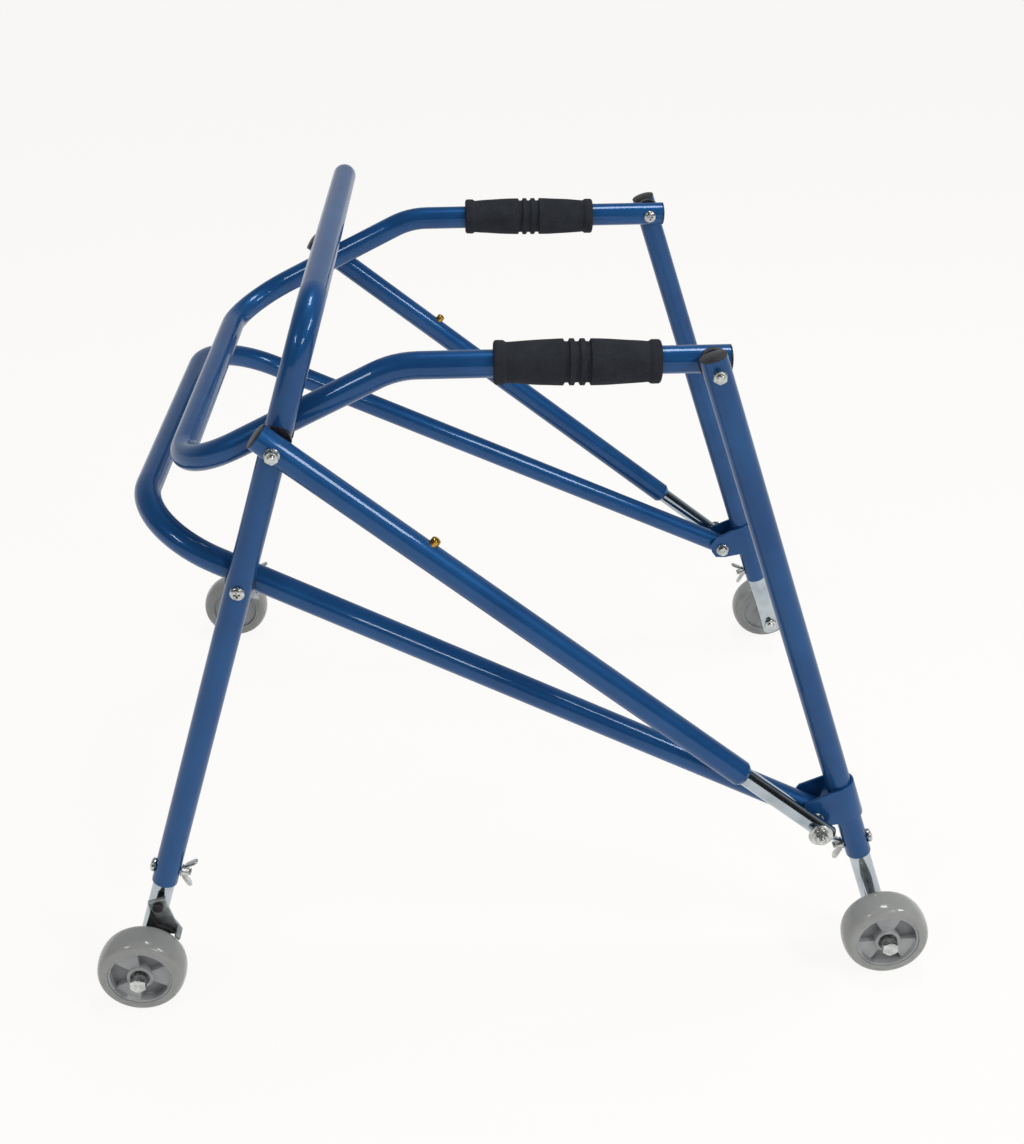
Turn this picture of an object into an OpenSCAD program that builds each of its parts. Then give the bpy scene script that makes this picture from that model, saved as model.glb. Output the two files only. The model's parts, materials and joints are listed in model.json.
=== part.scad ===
// Folding posterior walker: three bent tube bars, two front legs, two telescopic braces, four wheels.
// Millimetres, +X forward, +Y to the user's left, +Z up, floor at zero.

/* [Frame] */
// Outside diameter of the painted frame tubes
tube_d = 22.2; // [20:0.1:25]
// Wall thickness of the frame tubes
tube_wall = 1.5; // [1:0.05:2]
// Clear gap between two tubes that cross at a pivot
tube_gap = 2.4; // [2:0.1:4]
// Half distance between the handle rails
rail_y = 207.3; // [190:0.5:230]
// Distance between the front and rear axles
wheelbase = 652.4; // [600:1:700]
// Half distance between the rear legs at axle height
rear_track = 272.5; // [265:0.5:285]
// Half distance between the front legs at axle height
front_track = 249.6; // [244:0.5:260]

/* [Pivots] */
// Distance of the rear upper pivot behind the middle
rear_pivot_back = 186.3; // [170:0.5:200]
// Height of the rear upper pivot
rear_pivot_z = 506.3; // [490:0.5:520]
// Distance of the front upper pivot ahead of the middle
front_pivot_ahead = 152.6; // [140:0.5:165]
// Height of the front upper pivot
front_pivot_z = 556; // [545:0.5:570]
// Distance along the rear leg from the upper to the lower pivot
lower_pivot_drop = 133.4; // [120:0.5:145]
// Distance along the front leg from its pivot to the bracket
bracket_drop = 423; // [410:0.5:432]
// Distance of the bracket pivot behind the front leg's centre line
bracket_reach = 28.7; // [27:0.1:34]

/* [Bars] */
// Distance along the rear leg from the upper pivot to the top crossbar
rear_top_rise = 102; // [90:0.5:120]
// Bend radius of the rear frame's top corners
rear_bend_r = 46; // [38:0.5:60]
// Distance of the handle's crossbar behind the rear pivot
handle_reach = 100; // [85:0.5:120]
// Bend radius of the handle's rear corners
handle_bend_r = 60; // [26:0.5:75]
// Distance of the handle's front bend behind the front pivot
handle_bend_back = 247; // [240:0.5:260]
// Fall of the handle rail from the front pivot to its bend
handle_drop = 2.8; // [0:0.1:6]
// Radius of the handle's front bend
handle_crook_r = 75; // [50:0.5:100]
// Length of the handle rail past the front pivot
handle_tip = 13.4; // [12:0.1:22]
// Distance of the lower bar's crossbar behind its pivot
lower_reach = 96; // [85:0.5:110]
// Bend radius of the lower bar's corners
lower_bend_r = 78; // [50:0.5:84]
// Length of the lower bar past the bracket pivot
lower_tip = 8.4; // [7:0.1:9]

/* [Legs] */
// Distance from the axle up to the end of a painted leg
leg_end_rise = 65; // [57:0.2:70]
// Length of a front leg above its pivot
leg_top = 10.6; // [9.6:0.2:26]
// Outside diameter of the leg extensions
ext_d = 19.05; // [17:0.05:21]
// Length of a leg extension inside the leg
ext_inside = 180; // [150:1:200]
// Length of a leg extension below the axle
ext_below = 13; // [10:0.2:16]
// Wall thickness of the leg extensions and brace inner tubes
ext_wall = 1.4; // [1:0.05:2]
// Radius of the channel pressed into a leg extension
press_r = 7.2; // [6.8:0.05:7.4]
// Depth of the pressed channel at the axle
press_depth = 6.4; // [5:0.1:7]
// Height travel of a leg extension
height_travel = 100; // [50:1:110]
// Pitch of the height holes
height_pitch = 25; // [20:0.5:30]
// Distance from the leg's end up to the clamp bolt
clamp_rise = 13.4; // [12:0.2:30]

/* [Braces] */
// Diameter of the brace inner tube
inner_d = 15.9; // [14:0.1:17]
// Length of the brace outer tube above its pivot
brace_top = 16; // [12:0.2:20]
// Distance from the brace pivot to the end of the outer tube
brace_outer_len = 485.6; // [460:0.5:495]
// Length of the swaged end of the outer tube
swage_len = 3; // [2:0.2:10]
// Length of the brace inner tube past the bracket pivot
brace_tip = 14; // [13:0.2:18]
// Distance from the brace pivot to the release button
button_along = 144.5; // [120:0.5:170]
// Diameter of the release button
button_d = 8; // [6:0.1:9]
// Height of the release button above the tube
button_proud = 6; // [5:0.1:8]
// Depth of the release button below the tube's surface
button_deep = 7; // [6.6:0.1:8]
// Length of the inner tube above the button
inner_lead = 18; // [12:0.2:30]

/* [Bracket] */
// Sheet thickness of the hinge brackets
sheet = 2.5; // [2:0.1:3.5]
// Height of a bracket above its pivot
bracket_up = 20.5; // [18:0.1:24]
// Height of a bracket below its pivot at the leg
bracket_down = 15; // [13:0.1:18]
// Height of a bracket below its pivot at the ear's end
ear_down = 10.5; // [9.5:0.1:13]
// Length of an ear past its pivot
ear_past = 12.5; // [11:0.1:15]
// Outward lean of each ear at the pivot
ear_spread = 1.6; // [1.4:0.05:2]

/* [Wheels] */
// Radius of the wheels
wheel_r = 38; // [36:0.2:42]
// Width of the wheels
wheel_w = 28; // [26:0.2:32]
// Distance from the leg's line out to the wheel's middle
wheel_out = 34.1; // [33:0.1:38]
// Radius of the recess in a wheel's face
recess_r = 27.6; // [25:0.1:28.4]
// Depth of the recess to the hub's spokes
spoke_depth = 3.6; // [3:0.1:5]
// Depth of the pockets between the spokes
pocket_depth = 9; // [7:0.1:10]
// Radius of the hub boss
boss_r = 11; // [10.5:0.1:13]
// Thickness of the hub's outer ring
ring_t = 2; // [1.5:0.1:3]
// Radius of the counterbore in the hub boss
counter_r = 8.2; // [7.6:0.1:9]
// Depth of the counterbore in the hub boss
counter_depth = 5; // [4:0.1:7]
// Length of the hub boss past the wheel's inner side
boss_in = 1.6; // [1:0.1:3]
// Diameter of the axle bolts
axle_d = 8; // [7.6:0.1:8.4]
// Diameter of the axle's spacer sleeves
sleeve_d = 12.4; // [12:0.1:13]
// Length the outer sleeve stands out of the hub
sleeve_proud = 3; // [2:0.1:4]

/* [Pawls] */
// Height of the pawl pin above the axle along the leg
pawl_rise = 50.5; // [46:0.1:52]
// Diameter of the pawl pin
pawl_pin_d = 5; // [4.6:0.1:5.4]
// Diameter of the pawl pin's cap
pawl_cap_d = 9; // [8:0.1:9.6]
// Thickness of the pawl pin's cap
pawl_cap_t = 3; // [2:0.1:3.4]
// Sheet thickness of the pawls
pawl_t = 2; // [1.6:0.1:2.4]
// Length of the pawl's bite past the wheel's inner side
bite_past = 4; // [3:0.1:12]
// Width of the pawl's plate
bite_w = 13; // [11:0.1:15]
// Gap between the pawl and the tread
bite_gap = 0.5; // [0.4:0.05:0.8]
// Depth of the flange along the pawl's top
flange = 3.2; // [2.4:0.1:7]
// Thickness of the rubber pad on the pawl
pad_t = 5; // [4:0.1:5.6]

/* [Fasteners] */
// Diameter of the pivot and clamp bolts
bolt_d = 6; // [5.6:0.1:6.4]
// Width across the flats of the pivot nuts
nut_af = 10; // [9.6:0.1:11]
// Thickness of the pivot nuts
nut_t = 5; // [4:0.1:6]
// Length of a bolt past its nut
bolt_past = 3; // [1:0.1:5]
// Diameter of the pan heads
head_d = 12; // [11:0.1:13]
// Thickness of the pan heads
head_t = 4.4; // [4:0.1:5]
// Width of the cross recess
cross_w = 1.8; // [1.4:0.1:2.2]
// Depth of the cross recess
cross_depth = 2.2; // [1.6:0.1:2.6]
// Diameter of the largest washers
washer_d = 21; // [18:0.1:22]
// Thickness of the washers
washer_t = 1.4; // [1.2:0.05:1.6]
// Diameter of the saddle spacers
saddle_d = 24.6; // [23:0.1:25.4]
// Depth of the saddle spacers
saddle_depth = 6; // [5:0.1:7]
// Width across the flats of the axle bolt heads
axle_af = 13; // [12.6:0.1:13.4]
// Thickness of the axle bolt heads
axle_head_t = 6; // [5:0.1:7]
// Span of a wing nut
wing_span = 26; // [22:0.2:28]
// Height of a wing nut's wings
wing_h = 12; // [9:0.1:13]
// Height of a wing nut's body
wing_body = 6.4; // [5.6:0.1:7]
// Thickness of the wings
wing_t = 1.4; // [1:0.1:2.6]
// Width of the wings
wing_w = 8.6; // [7:0.1:10]
// Depth of the plugs inside the tubes
plug_in = 10; // [8:0.2:12]
// Thickness of the plugs' caps
plug_cap = 3; // [2:0.1:4]

/* [Grips] */
// Length of a foam grip
grip_len = 131; // [120:0.5:140]
// Diameter of a foam grip at its middle
grip_d = 37; // [34:0.2:40]
// Diameter of a foam grip at its ends
grip_end_d = 32; // [29:0.2:33]
// Diameter of the collars at a foam grip's ends
grip_collar_d = 35; // [33:0.2:37]
// Length of the collars
grip_collar = 8.5; // [7:0.1:10]
// Depth of the grooves
grip_groove = 2; // [1.4:0.1:2.4]
// Width of the grooves
grip_groove_w = 3.4; // [3:0.1:4]
// Distance of the right grip's front end behind the front pivot
grip_back_right = 40; // [34:0.5:56]
// Distance of the left grip's front end behind the front pivot
grip_back_left = 58.6; // [34:0.5:60]

/* [Clearances] */
// Radial clearance of a turning or sliding fit
run = 0.075; // [0.05:0.005:0.1]
// Gap between a turning tube and the part beside it
side_gap = 1; // [0.8:0.05:1.2]
// Gap between flat faces that turn on each other
face_gap = 0.4; // [0.35:0.05:0.6]
// Radial gap round the clamp bolts in the height slots
slot_gap = 0.4; // [0.35:0.05:0.6]
// Slack across the brace's end slot
link_slack = 1.3; // [1.2:0.05:1.5]
// Slack along the brace's end slot
link_slide = 3.8; // [3.6:0.1:4.2]
// Room beside the brace's end for its sideways shift in the fold
fold_drift = 2.8; // [2.6:0.1:3.4]
// Overlap that makes a cut pass right through
over = 2; // [1:0.1:3]
// Length a bend reaches into the straight tube's wall
bend_lap = 1; // [0.8:0.1:1.2]
// Set-in of a bend's surface under the straight tube's surface
bend_step = 0.04; // [0.03:0.005:0.06]

/* [Hidden] */
$fn = 48;

paint = [0.11, 0.23, 0.43];
plate = [0.80, 0.81, 0.82];
zinc = [0.70, 0.71, 0.70];
brass = [0.80, 0.62, 0.25];
black = [0.07, 0.07, 0.08];
grey = [0.56, 0.57, 0.58];

function unit(v) = v / norm(v);
function aside(up) = abs(up[1]) > 0.9 ? [1, 0, 0] : [0, 1, 0];
// Placement with its z along up, its x square to side
function stand(o, up, side) =
    let (x = unit(cross(side, up)), y = cross(up, x))
    [[x[0], y[0], up[0], o[0]], [x[1], y[1], up[1], o[1]], [x[2], y[2], up[2], o[2]], [0, 0, 0, 1]];
function flip(p) = [p[0], -p[1], p[2]];
function spot(p, y) = [p[0], y, p[2]];

tube_r = tube_d / 2;
bore_d = tube_d - 2 * tube_wall;
pitch = tube_d + tube_gap;
leg_y = rail_y + pitch;
half_w = wheel_w / 2;

// Left side's pivots and axles
A = [-rear_pivot_back, leg_y, rear_pivot_z];
B = [front_pivot_ahead, leg_y, front_pivot_z];
WR = [-wheelbase / 2, rear_track, wheel_r];
WF = [wheelbase / 2, front_track, wheel_r];
rear_up = unit(A - WR);
front_up = unit(B - WF);
C = A - rear_up * lower_pivot_drop;
front_fore = unit(cross([0, 1, 0], front_up));
D = B - front_up * bracket_drop - front_fore * bracket_reach;
rear_end = WR + rear_up * leg_end_rise;
front_end = WF + front_up * leg_end_rise;
front_top = B + front_up * leg_top;

// Rear frame, handle and lower bar paths, left half
rear_corner = A + rear_up * rear_top_rise;
handle_knee = [B[0] - handle_bend_back, rail_y, B[2] - handle_drop];
handle_pivot = spot(A, rail_y);
handle_corner = handle_pivot + unit(handle_pivot - handle_knee) * handle_reach;
rail_dir = unit(spot(B, rail_y) - handle_knee);
handle_end = spot(B, rail_y) + rail_dir * handle_tip;
lower_pivot = C - [0, pitch, 0];
lower_dir = unit(D - lower_pivot);
lower_end = D + lower_dir * lower_tip;
lower_corner = lower_pivot - lower_dir * lower_reach;

// Brace line, left
ear_half = tube_r + ear_spread;
inner_r = inner_d / 2;
brace_a = A + [0, pitch, 0];
brace_d = D + [0, ear_half + sheet + washer_t + face_gap + inner_r, 0];
brace_dir = unit(brace_d - brace_a);
brace_side = unit(cross(brace_dir, [0, 1, 0]));

module pair()
{
    children();
    mirror([0, 1, 0]) children();
}

module rod(p, q, d)
{
    up = unit(q - p);
    multmatrix(stand(p, up, aside(up))) cylinder(h = norm(q - p), d = d);
}

// Rod along y through p, between two y values
module pin(p, y0, y1, d)
{
    rod(spot(p, y0), spot(p, y1), d);
}

module hex_pin(p, y0, y1, af)
{
    translate(spot(p, y0)) rotate([y1 > y0 ? -90 : 90, 0, 0])
        cylinder(h = abs(y1 - y0), d = af / cos(30), $fn = 6);
}

function bend_of(p, i) = acos(unit(p[i] - p[i - 1]) * unit(p[i + 1] - p[i]));
function trim_of(p, r, i) = i == 0 || i == len(p) - 1 ? 0 : r[i] * tan(bend_of(p, i) / 2);

module elbow(p, r, i)
{
    u = unit(p[i] - p[i - 1]);
    w = unit(p[i + 1] - p[i]);
    bend = bend_of(p, i);
    centre = p[i] + unit(w - u) * (r[i] / cos(bend / 2));
    first = p[i] - u * trim_of(p, r, i);
    x = unit(first - centre);
    z = cross(x, u);
    lap = bend_lap / r[i] * 180 / PI;
    multmatrix([[x[0], u[0], z[0], centre[0]], [x[1], u[1], z[1], centre[1]],
        [x[2], u[2], z[2], centre[2]], [0, 0, 0, 1]])
        rotate(-lap) rotate_extrude(angle = bend + 2 * lap) translate([r[i], 0]) difference()
        {
            circle(d = tube_d - 2 * bend_step);
            circle(d = bore_d + 2 * bend_step);
        }
}

rear_path = [rear_end, rear_corner, flip(rear_corner), flip(rear_end)];
rear_radii = [0, rear_bend_r, rear_bend_r, 0];
handle_path = [handle_end, handle_knee, handle_corner,
    flip(handle_corner), flip(handle_knee), flip(handle_end)];
handle_radii = [0, handle_crook_r, handle_bend_r, handle_bend_r, handle_crook_r, 0];
lower_path = [lower_end, lower_corner, flip(lower_corner), flip(lower_end)];
lower_radii = [0, lower_bend_r, lower_bend_r, 0];

// Bent tube through points p with bend radii r; the children are cut from its straight lengths
module bar(p, r)
{
    n = len(p);
    for (i = [0:n - 2])
        let (u = unit(p[i + 1] - p[i]),
            a = p[i] + u * trim_of(p, r, i),
            b = p[i + 1] - u * trim_of(p, r, i + 1))
        difference()
        {
            rod(a, b, tube_d);
            rod(a - u * over, b + u * over, bore_d);
            children();
        }
    for (i = [1:n - 2]) elbow(p, r, i);
}

// Clamp bolt's frame on a leg: z along the bolt towards the wing nut
module clamp_at(end, up, turn)
{
    multmatrix(stand(end + up * clamp_rise, up, [0, 1, 0])) rotate([0, turn, 0]) children();
}

module clamp_hole(end, up)
{
    clamp_at(end, up, 90) cylinder(h = tube_d + over, d = bolt_d + 2 * run, center = true);
}

module pivot_hole(p, y)
{
    pin(p, y - tube_d, y + tube_d, bolt_d + 2 * run);
}

module rear_frame()
{
    color(paint) bar(rear_path, rear_radii)
    {
        pair() pivot_hole(A, A[1]);
        pair() pivot_hole(C, C[1]);
        pair() clamp_hole(rear_end, rear_up);
    }
}

module pan_head(p, y0, out)
{
    translate(spot(p, y0)) rotate([-out * 90, 0, 0]) difference()
    {
        intersection()
        {
            cylinder(h = head_t, d = head_d);
            translate([0, 0, head_t - head_d * 0.75]) sphere(d = head_d * 1.5);
        }
        for (a = [0, 90]) rotate(a) translate([0, 0, head_t])
            cube([head_d * 0.66, cross_w, 2 * cross_depth], center = true);
    }
}

module ring(p, y0, y1, d)
{
    difference()
    {
        pin(p, y0, y1, d);
        pin(p, y0 - over, y1 + over, bolt_d);
    }
}

module hex_ring(p, y0, y1)
{
    difference()
    {
        hex_pin(p, y0, y1, nut_af);
        pin(p, y0 - over, y1 + over, bolt_d);
    }
}

// Smaller washers as shares of the largest
small_share = 0.58;
mid_share = 0.67;
a_in = rail_y - tube_r - face_gap;
a_out = brace_a[1] + tube_r + side_gap;
module rear_upper_bolts()
{
    color(zinc) pair()
    {
        pin(A, a_in, a_out + washer_t + nut_t + bolt_past, bolt_d);
        pan_head(A, a_in, -1);
        ring(A, a_out, a_out + washer_t, washer_d * small_share);
        hex_ring(A, a_out + washer_t, a_out + washer_t + nut_t);
    }
}

c_in = lower_pivot[1] - tube_r - side_gap;
c_out = C[1] + tube_r;
module rear_lower_bolts()
{
    color(zinc) pair() difference()
    {
        union()
        {
            pin(C, c_in - nut_t - bolt_past, c_out, bolt_d);
            pan_head(C, c_out - side_gap / 2, 1);
            hex_ring(C, c_in - nut_t, c_in);
        }
        difference()
        {
            rod(rear_end, rear_corner, tube_d);
            pin(C, c_in, c_out + over, bolt_d);
        }
    }
}

// Saddle that hugs the fixed tube p-q and stands flat beside the turning one
module saddle(at, p, q, y_face, out)
{
    difference()
    {
        pin(at, y_face, y_face + out * saddle_depth, saddle_d);
        rod(p, q, tube_d);
        pin(at, y_face - out * over, y_face + out * (over + saddle_depth), bolt_d + 2 * run);
    }
}

module rear_spacers()
{
    color(black) pair()
    {
        saddle(A, rear_end, rear_corner, rail_y + tube_r + face_gap, 1);
        saddle(A, rear_end, rear_corner, brace_a[1] - tube_r - side_gap, -1);
        saddle(C, rear_end, rear_corner, lower_pivot[1] + tube_r + side_gap, 1);
    }
}

module clamp_bolt(end, up, turn)
{
    reach = tube_r + wing_body + bolt_past;
    clamp_at(end, up, turn)
    {
        translate([0, 0, -tube_r]) cylinder(h = tube_r + reach, d = bolt_d);
        translate([0, 0, -tube_r - head_t]) difference()
        {
            intersection()
            {
                cylinder(h = head_t, d = head_d);
                translate([0, 0, head_d * 0.75]) sphere(d = head_d * 1.5);
            }
            for (a = [0, 90]) rotate(a) cube([head_d * 0.66, cross_w, 2 * cross_depth], center = true);
        }
    }
}

module wing_nut(end, up, turn)
{
    clamp_at(end, up, turn) translate([0, 0, tube_r + face_gap]) difference()
    {
        union()
        {
            cylinder(h = wing_body, d1 = bolt_d * 1.8, d2 = bolt_d * 1.5);
            for (a = [0, 180]) rotate(a) wing();
        }
        translate([0, 0, -over]) cylinder(h = wing_h + 2 * over, d = bolt_d + 2 * run);
    }
}

// One wing: a leaf of sheet that leans outward to a round tip
module wing()
{
    foot = [bolt_d * 0.75, wing_body * 0.4];
    rise = [wing_span / 2, wing_h] - foot;
    translate([foot[0], 0, foot[1]]) rotate([0, atan2(rise[0], rise[1]), 0]) rotate([90, 0, 90])
        linear_extrude(wing_t, center = true)
        {
            translate([-wing_w / 2, 0]) square([wing_w, norm(rise) - wing_w / 2]);
            translate([0, norm(rise) - wing_w / 2]) circle(d = wing_w);
        }
}

module rear_clamp_bolts()
{
    color(zinc) pair() clamp_bolt(rear_end, rear_up, 90);
}

module handle_bar()
{
    color(paint) bar(handle_path, handle_radii)
    {
        pair() pivot_hole(A, rail_y);
        pair() pivot_hole(B, rail_y);
    }
}

// Plug in a tube's end at p, facing along dir, with a domed cap as wide as the tube
dome_share = 0.55;
module plug(p, dir)
{
    dome = plug_cap * dome_share;
    dome_r = (tube_r * tube_r + dome * dome) / (2 * dome);
    multmatrix(stand(p, dir, aside(dir)))
    {
        translate([0, 0, -plug_in]) cylinder(h = plug_in, d = bore_d);
        intersection()
        {
            cylinder(h = plug_cap, d = tube_d);
            translate([0, 0, plug_cap - dome_r]) sphere(r = dome_r);
        }
    }
}

module handle_plugs()
{
    color(black) pair() difference()
    {
        plug(handle_end, rail_dir);
        pivot_hole(B, rail_y);
    }
}

b_in = rail_y - tube_r;
b_out = leg_y + tube_r + side_gap;
module handle_bolts()
{
    color(zinc) pair()
    {
        pin(B, b_in, b_out + nut_t + bolt_past, bolt_d);
        pan_head(B, b_in, -1);
        hex_ring(B, b_out, b_out + nut_t);
    }
}

module handle_spacers()
{
    color(black) pair()
        saddle(B, handle_knee, handle_end + rail_dir * over, leg_y - tube_r - side_gap, -1);
}

grip_groove_shares = [0.43, 0.50, 0.57];
function swell(k) = grip_end_d / 2 + (grip_d - grip_end_d) / 2 * sin(180 * k);
function grooved(x) = max([for (g = grip_groove_shares)
    abs(x - g * grip_len) < grip_groove_w / 2 ? cos(180 * (x - g * grip_len) / grip_groove_w) : 0]);
grip_steps = 96;
grip_edge = grip_groove / 2;
grip_collar_r = grip_collar_d / 2;
grip_body = grip_len - 2 * grip_collar;
function grip_outline() = concat(
    [[tube_r, 0], [grip_collar_r - grip_edge, 0], [grip_collar_r, grip_edge]],
    [for (i = [0:grip_steps]) let (x = grip_collar + grip_body * i / grip_steps)
        [swell((x - grip_collar) / grip_body) - grip_groove * grooved(x), x]],
    [[grip_collar_r, grip_len - grip_edge], [grip_collar_r - grip_edge, grip_len], [tube_r, grip_len]]);

module grip(back)
{
    start = spot(B, rail_y) - rail_dir * (back + grip_len);
    multmatrix(stand(start, rail_dir, [0, 1, 0])) rotate_extrude() polygon(grip_outline());
}

module grip_left() { color(black) grip(grip_back_left); }
module grip_right() { color(black) mirror([0, 1, 0]) grip(grip_back_right); }

module lower_bar()
{
    color(paint) bar(lower_path, lower_radii)
    {
        pair() pivot_hole(C, lower_pivot[1]);
        pair() pin(D, D[1] - tube_d, D[1] + tube_d, bolt_d);
    }
}

module lower_bar_pins()
{
    color(zinc) pair() intersection()
    {
        pin(D, D[1] - tube_d, D[1] + tube_d, bolt_d);
        rod(lower_pivot, lower_end, tube_d);
    }
}

module front_leg()
{
    difference()
    {
        rod(front_end, front_top, tube_d);
        rod(front_end - front_up * over, front_top + front_up * over, bore_d);
        pivot_hole(B, leg_y);
        clamp_hole(front_end, front_up);
    }
}

module front_plug()
{
    difference()
    {
        plug(front_top, front_up);
        pivot_hole(B, leg_y);
    }
}

// Bracket's frame: origin on the leg beside the pivot, x forward, y outward, z up the leg
module bracket_at()
{
    multmatrix(stand(B - front_up * bracket_drop, front_up, [0, 1, 0])) children();
}

ear_end = bracket_reach + ear_past;
module strap_side()
{
    low = [-bracket_reach, -ear_down];
    polygon([[tube_d, bracket_up], [-tube_r, bracket_up],
        [-bracket_reach - ear_past / 3, bracket_up * 0.86],
        [-ear_end + ear_past * 0.1, bracket_up * 0.56], [-ear_end, bracket_up * 0.1],
        [-ear_end + ear_past * 0.2, -ear_down * 0.6], low,
        [-tube_r, -bracket_down * 0.88], [0, -bracket_down], [tube_d, -bracket_down]]);
}

module strap_section()
{
    lean = ear_spread * ear_end / bracket_reach;
    outer = tube_r + sheet;
    mouth = ear_end + over;
    difference()
    {
        union()
        {
            circle(r = outer);
            polygon([[0, outer], [-ear_end, outer + lean], [-ear_end, -outer - lean], [0, -outer]]);
        }
        circle(r = tube_r);
        polygon([[0, tube_r], [-mouth, tube_r + lean], [-mouth, -tube_r - lean], [0, -tube_r]]);
    }
}

module strap()
{
    bracket_at() intersection()
    {
        translate([0, 0, -bracket_down - over])
            linear_extrude(bracket_up + bracket_down + 2 * over) strap_section();
        rotate([90, 0, 0]) linear_extrude(4 * tube_d, center = true) strap_side();
    }
}

module bracket()
{
    difference()
    {
        strap();
        pin(D, D[1] - 2 * tube_d, D[1] + 2 * tube_d, bolt_d);
    }
}

d_ear = ear_half + sheet;
d_out = brace_d[1] + inner_r + fold_drift;
module brace_bolt()
{
    difference()
    {
        union()
        {
            pin(D, D[1] - d_ear - washer_t, D[1] - ear_half, bolt_d);
            pin(D, D[1] - d_ear - washer_t + face_gap / 2, D[1] - d_ear + over / 2, washer_d * mid_share);
            hex_pin(D, D[1] - d_ear - washer_t + face_gap / 2, D[1] - d_ear - washer_t - nut_t, nut_af);
            pin(D, D[1] + ear_half, d_out + 2 * washer_t + nut_t + bolt_past, bolt_d);
            pin(D, D[1] + d_ear - over / 2, D[1] + d_ear + washer_t, washer_d * mid_share);
            ring(D, d_out, d_out + washer_t, washer_d);
            ring(D, d_out + washer_t, d_out + 2 * washer_t, washer_d * mid_share);
            hex_ring(D, d_out + 2 * washer_t, d_out + 2 * washer_t + nut_t);
        }
        difference()
        {
            strap();
            pin(D, D[1] - 2 * tube_d, D[1] + 2 * tube_d, bolt_d);
        }
    }
}

module brace_outer()
{
    full = brace_top + brace_outer_len;
    shoulder = full - swage_len;
    neck_r = inner_r + run;
    difference()
    {
        multmatrix(stand(brace_a - brace_dir * brace_top, brace_dir, [0, 1, 0])) rotate_extrude()
            polygon([[bore_d / 2, 0], [tube_r, 0], [tube_r, shoulder], [inner_r + tube_wall, full],
                [neck_r, full], [neck_r, shoulder], [bore_d / 2, shoulder]]);
        pivot_hole(A, brace_a[1]);
        button_bore();
    }
}

module button_bore()
{
    at = brace_a + brace_dir * button_along;
    multmatrix(stand(at, brace_side, [0, 1, 0])) cylinder(h = tube_d, d = button_d + 2 * run);
}

module brace_plug()
{
    difference()
    {
        plug(brace_a - brace_dir * brace_top, -brace_dir);
        pivot_hole(A, brace_a[1]);
    }
}

// Long hole of width w from the origin along y
module long_hole(w, reach)
{
    circle(d = w);
    translate([0, reach]) circle(d = w);
    translate([-w / 2, min(0, reach)]) square([w, abs(reach)]);
}

module brace_inner()
{
    first = brace_a + brace_dir * (button_along - inner_lead);
    last = brace_d + brace_dir * brace_tip;
    difference()
    {
        rod(first, last, inner_d);
        rod(first - brace_dir * over, last + brace_dir * over, inner_d - 2 * ext_wall);
        multmatrix(stand(brace_d, brace_dir, [0, 1, 0])) rotate([90, 0, 0])
            linear_extrude(2 * inner_d, center = true) long_hole(bolt_d + 2 * link_slack, link_slide);
        multmatrix(stand(brace_a + brace_dir * button_along, brace_dir, [0, 1, 0])) rotate([90, 0, 90])
            linear_extrude(2 * inner_d, center = true) long_hole(button_d + 2 * slot_gap, -inner_lead - over);
    }
}

module button()
{
    at = brace_a + brace_dir * button_along + brace_side * (tube_r - button_deep);
    multmatrix(stand(at, brace_side, [0, 1, 0])) intersection()
    {
        cylinder(h = button_deep + button_proud, d = button_d);
        translate([0, 0, button_deep + button_proud - button_d * 0.75]) sphere(d = button_d * 1.5);
    }
}

// Leg extension with its pressed channel and height slot, in the leg's frame at the axle
module ext_solid(at, up)
{
    lean = atan(press_depth / leg_end_rise);
    multmatrix(stand(at, up, [0, 1, 0])) difference()
    {
        translate([0, 0, -ext_below]) cylinder(h = ext_below + leg_end_rise + ext_inside, d = ext_d);
        translate([0, ext_d / 2 + press_r - press_depth, 0]) rotate([-lean, 0, 0])
            translate([0, 0, -ext_below - over]) cylinder(h = ext_below + leg_end_rise + over, r = press_r);
        translate([0, 0, leg_end_rise + over]) cylinder(h = ext_inside, d = ext_d - 2 * ext_wall);
        translate([0, 0, leg_end_rise + clamp_rise]) height_slot();
    }
}

module height_slot()
{
    w = bolt_d + 2 * slot_gap;
    rotate([90, 0, 90]) linear_extrude(2 * ext_d, center = true)
    {
        long_hole(w, height_travel);
        for (k = [0:height_pitch:height_travel]) translate([0, k]) circle(d = w * 1.2);
    }
}

module ext(at, up)
{
    difference()
    {
        ext_solid(at, up);
        pin(at, at[1] - ext_d, at[1] + ext_d, axle_d);
    }
}

module axle(at, up)
{
    mid = at[1] + wheel_out;
    rim = mid + half_w;
    nut_y = at[1] - ext_d / 2;
    difference()
    {
        union()
        {
            pin(at, nut_y - nut_t - bolt_past, rim + sleeve_proud, axle_d);
            hex_pin(at, rim + sleeve_proud, rim + sleeve_proud + axle_head_t, axle_af);
            difference()
            {
                union()
                {
                    hex_pin(at, nut_y + over, nut_y - nut_t, axle_af);
                    pin(at, at[1] - over, mid - half_w - boss_in - face_gap, sleeve_d);
                    pin(at, rim - counter_depth + face_gap, rim + sleeve_proud, sleeve_d);
                }
                pin(at, nut_y - 2 * nut_t, rim + 2 * sleeve_proud, axle_d);
            }
        }
        difference()
        {
            ext_solid(at, up);
            pin(at, at[1] - ext_d, at[1] + ext_d, axle_d);
        }
    }
}

tread_steps = 20;
tread_share = 0.45;
function tread_at(t) = [recess_r + (wheel_r - recess_r) * pow(sin(t), tread_share), half_w * cos(t)];
function tread() = [for (i = [0:tread_steps]) tread_at(180 * i / tread_steps)];
// Radius of the tread at a distance from the wheel's middle
function tread_r(y) = tread_at(acos(y / half_w))[0];

module on_axle(at)
{
    translate(at + [0, wheel_out, 0]) rotate([-90, 0, 0]) children();
}

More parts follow.
